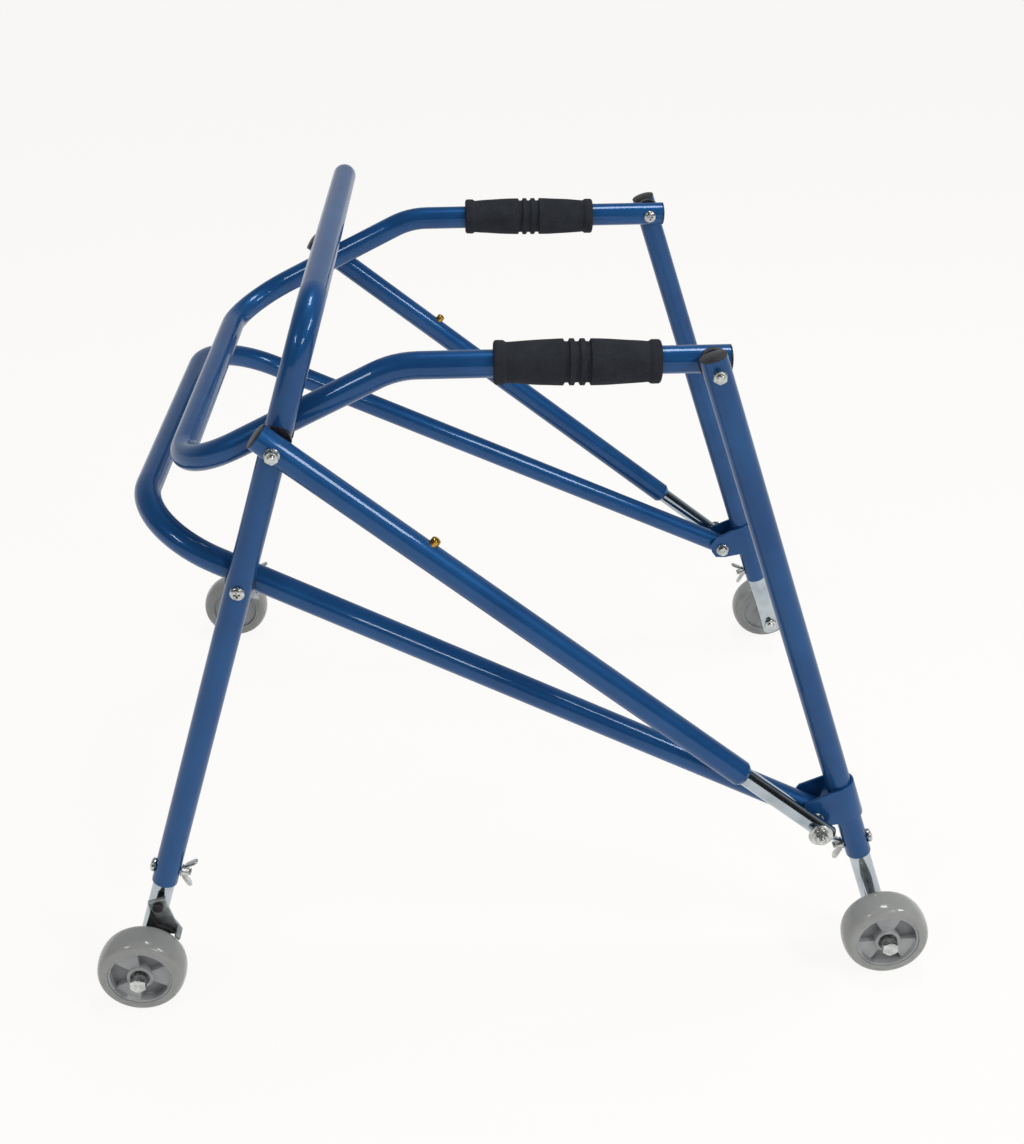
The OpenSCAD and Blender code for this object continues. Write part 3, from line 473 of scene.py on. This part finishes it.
def makeGrip(side, look):
    node = "grip_" + side
    rear, front = endCentre(node, min), endCentre(node, max)
    length = (front - rear).length * 1000
    bore = look["tubeMm"] / 2
    rows = [length * k / look["rows"] for k in range(look["rows"] + 1)]
    shape = lathe([(bore, 0)] + [(gripRadius(x, length, look), x) for x in rows] + [(bore, length)], look["steps"])
    shift = Vector((look["dentShift"][side], 0, 0))
    for v in shape.verts:
        out = Vector((v.co.x, v.co.y, 0))
        if out.length > (bore + 1) / 1000:  # dents of a used grip, deeper than they are high
            dent = noise.noise(v.co * 1000 / look["dentScaleMm"] + shift)
            v.co += out.normalized() * (dent - 0.5) * look["dentMm"] / 1000
    piece = finishPiece("foamGrip_" + side, shape, along(rear, front - rear), "handle", "black_foam", [node],
                        look["sharpDeg"])


for side in signs:
    makeGrip(side, gripLook)
print("grips made")

# wheels: round polyurethane tread on a moulded three-spoke hub
wheelLook = {
    "radiusMm": 38, "widthMm": 28, "recessMm": 27.6, "crownPower": 0.45, "lipMm": 0.8, "lapMm": 0.02,
    "rimMm": 2.0, "fitMm": 0.05, "edgeMm": 0.4, "faceInMm": 0.6, "spokeDepthMm": 3.6, "pocketDepthMm": 9,
    "bossMm": 11, "bossInMm": 1.6, "bossDraftMm": 0.2, "counterMm": 8.2, "counterDepthMm": 5, "boreMm": 4.08,
    "spokes": 3, "spokeDeg": 58, "bevelMm": 0.55, "easeShare": 0.6,
    "turnDeg": {"rear_right": 90, "front_right": 66, "rear_left": 35, "front_left": 100},  # how far each rolled
    "crownSteps": 44, "tyreSteps": 128, "hubSteps": 144, "tyreSharpDeg": 50, "hubSharpDeg": 30,
}


def wheelPlace(foot):  # z out of the wheel's outer face
    side = foot.split("_")[1]
    return along(joints["wheel_" + foot]["pos_m"], (0, signs[side], 0))


def makeTyre(foot, look):
    half, rim, steps = look["widthMm"] / 2, look["recessMm"], look["crownSteps"]
    lip, lap = half - look["lipMm"], rim - look["lapMm"]
    crown = [math.pi * k / steps for k in range(steps + 1)]
    outline = [(rim + (look["radiusMm"] - rim) * math.sin(t) ** look["crownPower"], half * math.cos(t))
               for t in crown]
    shape = lathe([(lap, lip)] + outline + [(lap, -lip)], look["tyreSteps"])
    finishPiece("tyre_" + foot, shape, wheelPlace(foot), "wheel_" + foot, "grey_tread", ["tyre_" + foot],
                look["tyreSharpDeg"])


def makeHub(foot, look):
    half, bevel, steps = look["widthMm"] / 2, look["bevelMm"], look["hubSteps"]
    bore, boss, counter, rim = [look[n] for n in ("boreMm", "bossMm", "counterMm", "recessMm")]
    ring, outer, ease = rim - look["rimMm"], rim - look["fitMm"], bevel * look["easeShare"]
    inner, back = -half - look["bossInMm"], -half + look["spokeDepthMm"]
    face, seat = half - look["faceInMm"], half - look["counterDepthMm"]
    top, floor = half - look["spokeDepthMm"], half - look["pocketDepthMm"]
    sector = steps // look["spokes"]
    spokeSteps = round(steps * look["spokeDeg"] / 360)

    def outlineAt(k):
        step = k % sector
        level = top if step < spokeSteps else floor
        if step in (0, spokeSteps - 1):  # the two edges of a spoke are eased
            level -= ease
        return [
            (bore, inner), (boss - bevel, inner), (boss, inner + bevel), (boss, back), (ring, back),
            (ring, -half + bevel), (ring + bevel, -half), (outer, -half), (outer, face - bevel),
            (rim - look["edgeMm"], face), (ring + bevel, face), (ring, face - bevel),
            (ring - bevel, level + bevel), (ring - 2 * bevel, level), (boss + 2 * bevel, level),
            (boss + ease, level + bevel), (boss + look["bossDraftMm"], face - look["faceInMm"]),
            (boss - bevel, face), (counter + bevel, face), (counter, face - bevel), (counter, seat), (bore, seat)]

    shape = spun(steps, outlineAt)
    shadeMask = shape.verts.layers.float.new("pocketDepth")
    for v in shape.verts:  # mask for the painted shade: 0 on the spokes to 1 on the pockets' floors
        r, z = v.co.xy.length * 1000, v.co.z * 1000
        if z > 0 and r > counter + bevel / 2:
            v[shadeMask] = clamped((top - bevel - z) / (top - floor - 2 * bevel))
    place = wheelPlace(foot) @ Matrix.Rotation(math.radians(look["turnDeg"][foot]), 4, "Z")
    finishPiece("hub_" + foot, shape, place, "wheel_" + foot, "grey_hub", ["hub_" + foot], look["hubSharpDeg"])


for foot in feet:
    makeTyre(foot, wheelLook)
    makeHub(foot, wheelLook)
print("wheels made")

# wing nuts: pressed body with two leaves of sheet that lean outward
wingLook = {
    "legMm": 22.2, "gapMm": 0.4, "bodyMm": 6.4, "footMm": 10.8, "topMm": 9, "boreMm": 6.3, "bodyEdgeMm": 0.5,
    "spanMm": 26, "tallMm": 12, "leafMm": 8.6, "thickMm": 1.4, "edgeMm": 0.35, "footShare": 0.4,
    "waistShare": 0.86, "sideSteps": 5, "tipSteps": 16, "bodySteps": 40, "rimDeg": 60,
}


def leafOutline(length, look):  # one leaf flat in y and z, with a little waist at the foot and a round tip
    half, waist = look["leafMm"] / 2, look["waistShare"]
    tip = length - half
    climb = [k / look["sideSteps"] for k in range(look["sideSteps"] + 1)]
    side = [Vector((half * (waist + (1 - waist) * t), tip * t)) for t in climb]
    turns = [math.pi * k / look["tipSteps"] for k in range(1, look["tipSteps"])]
    arc = [Vector((half * math.cos(t), tip + half * math.sin(t))) for t in turns]
    return side + arc + [Vector((-p.x, p.y)) for p in reversed(side)]


def wingLeaf(length, look):  # the outline grown to its sheet thickness, with its rims rounded
    half = look["thickMm"] / 2
    leaf = bmesh.new()
    face = leaf.faces.new([leaf.verts.new((-half, p.x, p.y)) for p in leafOutline(length, look)])
    grown = bmesh.ops.extrude_face_region(leaf, geom=[face])["geom"]
    raised = [v for v in grown if isinstance(v, bmesh.types.BMVert)]
    bmesh.ops.translate(leaf, verts=raised, vec=(2 * half, 0, 0))
    faceOut(leaf)
    rims = [e for e in leaf.edges if e.calc_face_angle(0) > math.radians(look["rimDeg"])
            and abs(e.verts[0].co.x - e.verts[1].co.x) < half]
    bmesh.ops.bevel(leaf, geom=rims, offset=look["edgeMm"], segments=2, profile=0.5, affect="EDGES")
    return leaf


def makeWingNut(foot, look):
    bore, edge, tall = look["boreMm"] / 2, look["bodyEdgeMm"], look["bodyMm"]
    low, top = look["footMm"] / 2, look["topMm"] / 2
    shape = lathe([(bore, 0), (low - edge, 0), (low, edge), (top, tall - edge), (top - edge, tall), (bore, tall)],
                  look["bodySteps"])
    start = Vector((top, tall * look["footShare"]))
    rise = Vector((look["spanMm"] / 2, look["tallMm"])) - start
    lean = Matrix.Translation((start.x, 0, start.y)) @ Matrix.Rotation(math.atan2(rise.x, rise.y), 4, "Y")
    for turn in (0, 180):
        leaf = wingLeaf(rise.length, look)
        leaf.transform(Matrix.Rotation(math.radians(turn), 4, "Z") @ lean)
        leaf.transform(Matrix.Scale(0.001, 4))
        shape.from_mesh(meshOf("wingLeaf", leaf))
    spot, leg = joints["wing_" + foot], Vector(joints["height_" + foot]["axis"])
    axis = Vector(spot["axis"]).normalized()
    across = (leg - axis * leg.dot(axis)).normalized()  # the leaves spread along the leg
    turned = Matrix((across, axis.cross(across), axis)).transposed().to_4x4()
    seat = Vector(spot["pos_m"]) + axis * (look["legMm"] / 2 + look["gapMm"]) / 1000
    finishPiece("wingNut_" + foot, shape, Matrix.Translation(seat) @ turned, "wing_" + foot, "zinc_plate",
                ["wing_" + foot])


for foot in feet:
    makeWingNut(foot, wingLook)
print("wing nuts made")

# small CAD pieces with their pressed or moulded edges rounded
edgeLook = {
    "widthMm": {"pawl": 0.5, "pawl_pad": 0.9, "pawl_pin": 0.7, "bracket": 0.5, "front_plug": 0.6,
                "brace_plug": 0.6, "handle_plugs": 0.6, "button": 0.4},
    "flatDeg": 0.5, "edgeDeg": 35, "segments": 3, "sharpDeg": 40,
}


def roundEdges(node, width, look):  # copy of a CAD piece with its sharp edges rolled over
    shape = bmesh.new()
    shape.from_mesh(nodes[node].data)
    bmesh.ops.remove_doubles(shape, verts=shape.verts, dist=2e-6)
    bmesh.ops.dissolve_limit(shape, angle_limit=math.radians(look["flatDeg"]), verts=shape.verts,
                             edges=shape.edges)
    sharp = [e for e in shape.edges
             if len(e.link_faces) == 2 and e.calc_face_angle(0) > math.radians(look["edgeDeg"])]
    bmesh.ops.bevel(shape, geom=sharp, offset=width / 1000, segments=look["segments"], profile=0.5,
                    affect="EDGES", clamp_overlap=True, loop_slide=True)
    finishPiece("edged_" + node, shape, Matrix.Identity(4), nodes[node]["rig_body"], slotOf[node], [node],
                look["sharpDeg"])


for stem, width in edgeLook["widthMm"].items():
    for node in [stem] if stem in nodes else [stem + "_" + side for side in signs]:
        roundEdges(node, width, edgeLook)
print("edges rounded")

# fasteners: one kit of nuts, heads, washers and studs, set out by a node tree on the bolts' own points
boltLook = {
    "shankMm": 6, "pitchMm": 1.0, "threadMm": 0.5, "threadShares": (0.15, 0.45, 0.6, 0.9), "tipMm": 0.5,
    "pastMm": 3, "nutAcrossMm": 10, "nutMm": 5, "nutBiteMm": 0.4, "hexEdgeMm": 0.15, "hexFaceShare": 0.95,
    "headAcrossMm": 12, "headMm": 4.4, "headRimShare": 0.42, "headEdgeMm": (0.3, 0.4),
    "crossMm": 1.8, "crossDeepMm": 2.2, "crossSpanShare": 1.15, "crossTaper": 0.72,
    "washersMm": {"washerSmall": 12.2, "washerMid": 14, "washerWide": 21}, "washerThickMm": 1.4, "bevelMm": 0.35,
    "axleMm": 8, "axleAcrossMm": 13, "axleHeadMm": 6, "sleeveMm": 12.4, "sleeveGapMm": 0.4, "footMm": 12,
    "earLeanMm": 0.7, "earMm": 2.4, "poleMm": 0.01,
    "hexSteps": 72, "studSteps": 32, "headSteps": 48, "domeSteps": 10, "sleeveSteps": 40, "sharpDeg": 28,
}


def hexSolid(across, thick, bore, look):  # hex with its corners turned off at 30 degrees
    flat, steps = across / 2, look["hexSteps"]
    inner = flat * look["hexFaceShare"]

    def outlineAt(k):
        turn = 2 * math.pi * k / steps
        radius = flat / math.cos((turn + math.pi / 6) % (math.pi / 3) - math.pi / 6)
        drop = (radius - flat) * math.tan(math.radians(30)) + look["hexEdgeMm"]
        return [(bore, 0), (inner, 0), (radius, drop), (radius, thick - drop), (inner, thick), (bore, thick)]

    return spun(steps, outlineAt)


def threadedEnd(diameter, look):  # stud through a nut and past it, with rolled thread and a chamfered tip
    low, high, pole = -look["nutMm"], look["pastMm"], look["poleMm"]
    radius, root, tip = diameter / 2, diameter / 2 - look["threadMm"], look["tipMm"]
    outline = [(pole, low), (radius, low)]
    for k in range(int((high - low - tip) / look["pitchMm"])):
        heights = [low + look["pitchMm"] * (k + share) for share in look["threadShares"]]
        outline += zip((radius, root, root, radius), heights)
    outline += [(radius, high - tip), (radius - tip, high), (pole, high)]
    return lathe(outline, look["studSteps"])


def crossPlug(radius, look):  # two tapered arms that cut the recess
    cross = bmesh.new()
    size = Matrix.Diagonal((radius * look["crossSpanShare"] / 1000, look["crossMm"] / 1000,
                            2 * look["crossDeepMm"] / 1000, 1))
    for turn in (0, 90):
        made = bmesh.ops.create_cube(cross, size=1, matrix=Matrix.Rotation(math.radians(turn), 4, "Z") @ size)
        for v in made["verts"]:  # the arms taper towards the point
            if v.co.z < 0:
                v.co.x *= look["crossTaper"]
                v.co.y *= look["crossTaper"]
    bmesh.ops.translate(cross, verts=cross.verts, vec=(0, 0, look["headMm"] / 1000))
    return cross


def panHead(look):  # domed head with a cross recess cut into it
    radius, tall, pole = look["headAcrossMm"] / 2, look["headMm"], look["poleMm"]
    inset, rise = look["headEdgeMm"]
    rim = tall * look["headRimShare"]
    dome = [math.pi / 2 * k / look["domeSteps"] for k in range(1, look["domeSteps"])]
    outline = [(pole, 0), (radius - inset, 0), (radius, rise), (radius, rim)]
    outline += [(radius * math.cos(a), rim + (tall - rim) * math.sin(a)) for a in dome] + [(pole, tall)]
    head = newObject("headBlank", meshOf("headBlank", lathe(outline, look["headSteps"])))
    cutter = newObject("crossCutter", meshOf("crossCutter", crossPlug(radius, look)))
    cut = head.modifiers.new("cross", "BOOLEAN")
    cut.object = cutter
    cut.solver = "EXACT"
    cut.use_self = True
    graph = bpy.context.evaluated_depsgraph_get()
    shape = bmesh.new()
    shape.from_mesh(bpy.data.meshes.new_from_object(head.evaluated_get(graph)))
    for made in (head, cutter):
        bpy.data.objects.remove(made)
    return shape


def washer(diameter, look):
    outer, inner, thick, bevel = diameter / 2, look["shankMm"] / 2, look["washerThickMm"], look["bevelMm"]
    return lathe([(inner, 0), (outer - bevel, 0), (outer, bevel), (outer, thick - bevel), (outer - bevel, thick),
                  (inner, thick)], look["headSteps"])


def metreRod(inner, outer, steps):  # one metre long, stretched to its length where it is set out
    return lathe([(inner, 0), (outer, 0), (outer, 1000), (inner, 1000)], steps)


def makeKit(look):
    shank, axle, bite, pole = look["shankMm"] / 2, look["axleMm"] / 2, look["nutBiteMm"], look["poleMm"]
    parts = {
        "nut": hexSolid(look["nutAcrossMm"], look["nutMm"], shank - bite, look),
        "end": threadedEnd(look["shankMm"], look),
        "head": panHead(look),
        "shank": metreRod(pole, shank, look["studSteps"]),
        "hexHead": hexSolid(look["nutAcrossMm"], look["nutMm"], pole, look),
        "axleHead": hexSolid(look["axleAcrossMm"], look["axleHeadMm"], pole, look),
        "axleNut": hexSolid(look["axleAcrossMm"], look["nutMm"], axle - bite, look),
        "axleEnd": threadedEnd(look["axleMm"], look),
        "sleeve": metreRod(axle, look["sleeveMm"] / 2, look["sleeveSteps"]),
    }
    for name, diameter in look["washersMm"].items():
        parts[name] = washer(diameter, look)
    kit = bpy.data.collections.new("fastenerKit")
    for name, shape in parts.items():
        mesh = meshOf(name, shape)
        smooth(mesh, look["sharpDeg"])
        mesh.materials.append(finishes["zinc_plate"])
        kit.objects.link(bpy.data.objects.new(name, mesh))
    return kit


def fastenerTree():
    tree = bpy.data.node_groups.new("fastenerLayout", "GeometryNodeTree")
    for name, way, kind in (("Points", "INPUT", "Geometry"), ("Kit", "INPUT", "Collection"),
                            ("Finish", "INPUT", "Material"), ("Fasteners", "OUTPUT", "Geometry")):
        tree.interface.new_socket(name, in_out=way, socket_type="NodeSocket" + kind)
    given = put(tree, "NodeGroupInput")
    kit = put(tree, "GeometryNodeCollectionInfo", values={"Separate Children": True, "Reset Children": True},
              links={"Collection": given.outputs["Kit"]})
    index = put(tree, "GeometryNodeInputNamedAttribute", {"data_type": "INT"}, {"Name": "kitIndex"})
    facing = put(tree, "GeometryNodeInputNamedAttribute", {"data_type": "FLOAT_VECTOR"}, {"Name": "facing"})
    stretch = put(tree, "GeometryNodeInputNamedAttribute", {"data_type": "FLOAT_VECTOR"}, {"Name": "stretch"})
    turned = put(tree, "FunctionNodeAlignRotationToVector", {"axis": "Z"},
                 links={"Vector": facing.outputs["Attribute"]})
    placed = put(tree, "GeometryNodeInstanceOnPoints", values={"Pick Instance": True},
                 links={"Points": given.outputs["Points"], "Instance": kit.outputs["Instances"],
                        "Instance Index": index.outputs["Attribute"], "Rotation": turned.outputs["Rotation"],
                        "Scale": stretch.outputs["Attribute"]})
    real = put(tree, "GeometryNodeRealizeInstances", links={"Geometry": placed.outputs["Instances"]})
    coated = put(tree, "GeometryNodeSetMaterial",
                 links={"Geometry": real.outputs["Geometry"], "Material": given.outputs["Finish"]})
    put(tree, "NodeGroupOutput", links={"Fasteners": coated.outputs["Geometry"]})
    return tree


fastenerKit = makeKit(boltLook)
fastenerNodes = fastenerTree()
kitOrder = sorted(o.name for o in fastenerKit.objects)


def setOut(name, body, items, replaced):  # items: kit part, place, facing, and a length in metres or None
    mesh = bpy.data.meshes.new(name + "Points")
    mesh.from_pydata([place for part, place, facing, length in items], [], [])
    index = mesh.attributes.new("kitIndex", "INT", "POINT")
    facings = mesh.attributes.new("facing", "FLOAT_VECTOR", "POINT")
    stretch = mesh.attributes.new("stretch", "FLOAT_VECTOR", "POINT")
    for k, (part, place, facing, length) in enumerate(items):
        index.data[k].value = kitOrder.index(part)
        facings.data[k].vector = facing
        stretch.data[k].vector = (1, 1, length or 1)
    piece = newObject(name, mesh)
    layout = piece.modifiers.new("layout", "NODES")
    layout.node_group = fastenerNodes
    sockets = {s.name: s.identifier for s in fastenerNodes.interface.items_tree if s.in_out == "INPUT"}
    layout[sockets["Kit"]] = fastenerKit
    layout[sockets["Finish"]] = finishes["zinc_plate"]
    graph = bpy.context.evaluated_depsgraph_get()
    made = bpy.data.meshes.new_from_object(piece.evaluated_get(graph))
    piece.modifiers.remove(layout)
    piece.data = made
    declare(piece, body, replaced)


def metres(look, *names):
    return [look[name] / 1000 for name in names]


def reach(node, sign):  # nearest and furthest |y| of a CAD node's solids on one side
    found = [abs(v.co.y) for v in nodes[node].data.vertices if v.co.y * sign > 0]
    return min(found), max(found)


def crossBolt(node, x, z, sign, headOut, washers):  # pan head at one end, nut and thread at the other, along y
    near, far = reach(node, sign)
    nut, past, head, flat = metres(boltLook, "nutMm", "pastMm", "headMm", "washerThickMm")
    if headOut:
        seat, tip, out = far - head, near + past + nut, -1
    else:
        seat, tip, out = near + head, far - past - nut, 1
    nutFacing, headFacing = (0, out * sign, 0), (0, -out * sign, 0)
    items = [("head", (x, seat * sign, z), headFacing, None),
             ("shank", (x, seat * sign, z), nutFacing, abs(tip - seat)),
             ("nut", (x, tip * sign, z), nutFacing, None),
             ("end", (x, (tip + out * nut) * sign, z), nutFacing, None)]
    for k in range(washers):
        items.append(("washerSmall", (x, (tip - out * flat * (k + 1)) * sign, z), nutFacing, None))
    return items


def clampBolt(foot):  # pan head on one side of the leg, thread through the wing nut on the other
    spot = joints["wing_" + foot]
    place, axis = Vector(spot["pos_m"]), Vector(spot["axis"])
    leg, body = metres(wingLook, "legMm", "bodyMm")
    head, tip = place - axis * leg / 2, place + axis * (leg / 2 + body)
    return [("head", head, -axis, None), ("shank", head, axis, leg + body), ("end", tip, axis, None)]


def bracketBolt(side):  # hex head inside the bracket, washers, nut and thread outside the brace
    s = signs[side]
    low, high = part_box("brace_bolt_" + side)
    x, z = (low.x + high.x) / 2, (low.z + high.z) / 2
    near, far = reach("brace_bolt_" + side, s)
    nut, past, flat, lean, sheet = metres(boltLook, "nutMm", "pastMm", "washerThickMm", "earLeanMm", "earMm")
    ear = max(abs(c.y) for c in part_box("bracket_" + side)) - lean
    seat = far - past - nut
    outer, inner = (0, s, 0), (0, -s, 0)
    return [("hexHead", (x, (near + nut) * s, z), inner, None),
            ("washerMid", (x, (near + nut) * s, z), outer, None),
            ("shank", (x, (ear - sheet) * s, z), outer, seat - ear + sheet),
            ("washerMid", (x, ear * s, z), outer, None),
            ("washerWide", (x, (seat - 2 * flat) * s, z), outer, None),
            ("washerMid", (x, (seat - flat) * s, z), outer, None),
            ("nut", (x, seat * s, z), outer, None),
            ("end", (x, (seat + nut) * s, z), outer, None)]


def axleBolt(foot):  # hex head outside the wheel, a sleeve on either side of the hub, nut inside the leg
    s = signs[foot.split("_")[1]]
    x, mid, z = joints["wheel_" + foot]["pos_m"]
    near, far = reach("axle_" + foot, s)
    head, nut, past, gap, leg = metres(boltLook, "axleHeadMm", "nutMm", "pastMm", "sleeveGapMm", "footMm")
    width, bossIn, counterDepth = metres(wheelLook, "widthMm", "bossInMm", "counterDepthMm")
    counter = abs(mid) + width / 2 - counterDepth + gap
    boss = abs(mid) - width / 2 - bossIn - gap
    clamp = near + nut + past
    outer, inner = (0, s, 0), (0, -s, 0)
    return [("axleHead", (x, (far - head) * s, z), outer, None),
            ("sleeve", (x, counter * s, z), outer, far - head - counter),
            ("sleeve", (x, (clamp + leg) * s, z), outer, boss - clamp - leg),
            ("axleNut", (x, clamp * s, z), inner, None),
            ("axleEnd", (x, (near + past) * s, z), inner, None)]


def makeFasteners():
    for name, body, node, joint, headOut, washers in (
            ("upperPivotBolts", "rear_frame", "rear_upper_bolts", "fold", False, 1),
            ("lowerPivotBolts", "rear_frame", "rear_lower_bolts", "lower_bar_turn", True, 0),
            ("handlePivotBolts", "handle", "handle_bolts", "front_leg_turn_left", False, 0)):
        x, y, z = joints[joint]["pos_m"]
        items = [i for s in signs.values() for i in crossBolt(node, x, z, s, headOut, washers)]
        setOut(name, body, items, [node])
    setOut("rearClampBolts", "rear_frame", [i for side in signs for i in clampBolt("rear_" + side)],
           ["rear_clamp_bolts"])
    for side in signs:
        leg = "front_leg_" + side
        setOut("frontClampBolt_" + side, leg, clampBolt("front_" + side), ["front_clamp_bolt_" + side])
        setOut("bracketBolt_" + side, leg, bracketBolt(side), ["brace_bolt_" + side])
    for foot in feet:
        setOut("axleBolt_" + foot, "ext_" + foot, axleBolt(foot), ["axle_" + foot])


makeFasteners()
print("fasteners made")
